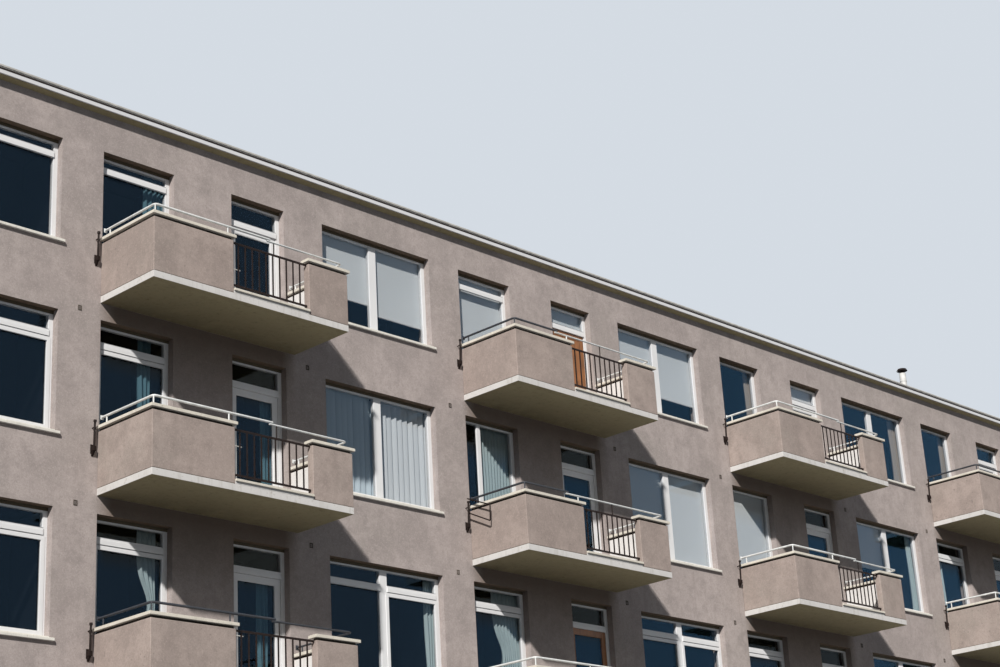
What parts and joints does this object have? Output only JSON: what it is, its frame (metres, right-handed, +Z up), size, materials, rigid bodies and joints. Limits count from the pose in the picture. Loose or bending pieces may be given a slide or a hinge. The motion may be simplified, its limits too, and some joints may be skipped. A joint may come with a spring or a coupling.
{
  "type": "apartment block",
  "caption": "Flat-roofed block of flats with rendered walls, recessed windows, cantilevered balconies with parapets and railings, and plain party walls",
  "frame": {"origin": "on the ground, in the middle of the building's bounding box", "axes": "+X along the building, to the right of someone who faces the balconies; -Y out of the balcony front; +Z up"},
  "size_m": [35.8, 10.905, 15.815],
  "materials": {
    "render": "rough cast render",
    "party_render": "rough cast render",
    "plinth_render": "smooth cement render",
    "concrete": "bare concrete",
    "painted_concrete": "painted concrete",
    "coping_stone": "weathered coping",
    "white_joinery": "painted white",
    "white_board": "painted white",
    "soffit_board": "painted cream",
    "glass": "clear",
    "rail_steel": "dark painted steel",
    "handrail_steel": "pale painted steel",
    "trim_metal": "mill finish",
    "roof_felt": "bitumen felt",
    "flue_metal": "white",
    "flue_cap_metal": "dark",
    "entrance_wood": "varnished"
  },
  "bodies": {
    "root": {"back_wall_1": "render", "back_wall_2": "render", "back_wall_3": "render", "back_wall_4": "render", "back_wall_5": "render", "back_window_frames": "white_joinery", "back_window_glass": "glass", "balcony_door_frames": "white_joinery", "balcony_doors": "white_joinery", "balcony_slabs": "painted_concrete", "coping_fronts": "coping_stone", "coping_sides": "coping_stone", "door_glass": "glass", "eave_soffits": "soffit_board", "entrance_doors": "entrance_wood", "fascia_boards": "white_board", "floors": "concrete", "flue_cap": "flue_cap_metal", "flue_pipe": "flue_metal", "front_wall_1": "render", "front_wall_2": "render", "front_wall_3": "render", "front_wall_4": "render", "front_wall_5": "render", "gable_trim": "trim_metal", "handrail_fronts": "handrail_steel", "handrail_posts": "handrail_steel", "handrail_sides": "handrail_steel", "kerb_caps": "coping_stone", "parapet_fronts": "render", "parapet_sides": "render", "party_wall_left": "party_render", "party_wall_right": "party_render", "plinth": "plinth_render", "railing_bars": "rail_steel", "railing_kerbs": "painted_concrete", "railing_rails": "rail_steel", "roof_deck": "roof_felt", "roof_edge_trim": "trim_metal", "roof_slab": "concrete", "wall_brackets": "rail_steel", "window_frames": "white_joinery", "window_glass": "glass", "window_mullions": "white_joinery", "window_sills": "coping_stone"}
  },
  "joints": []
}
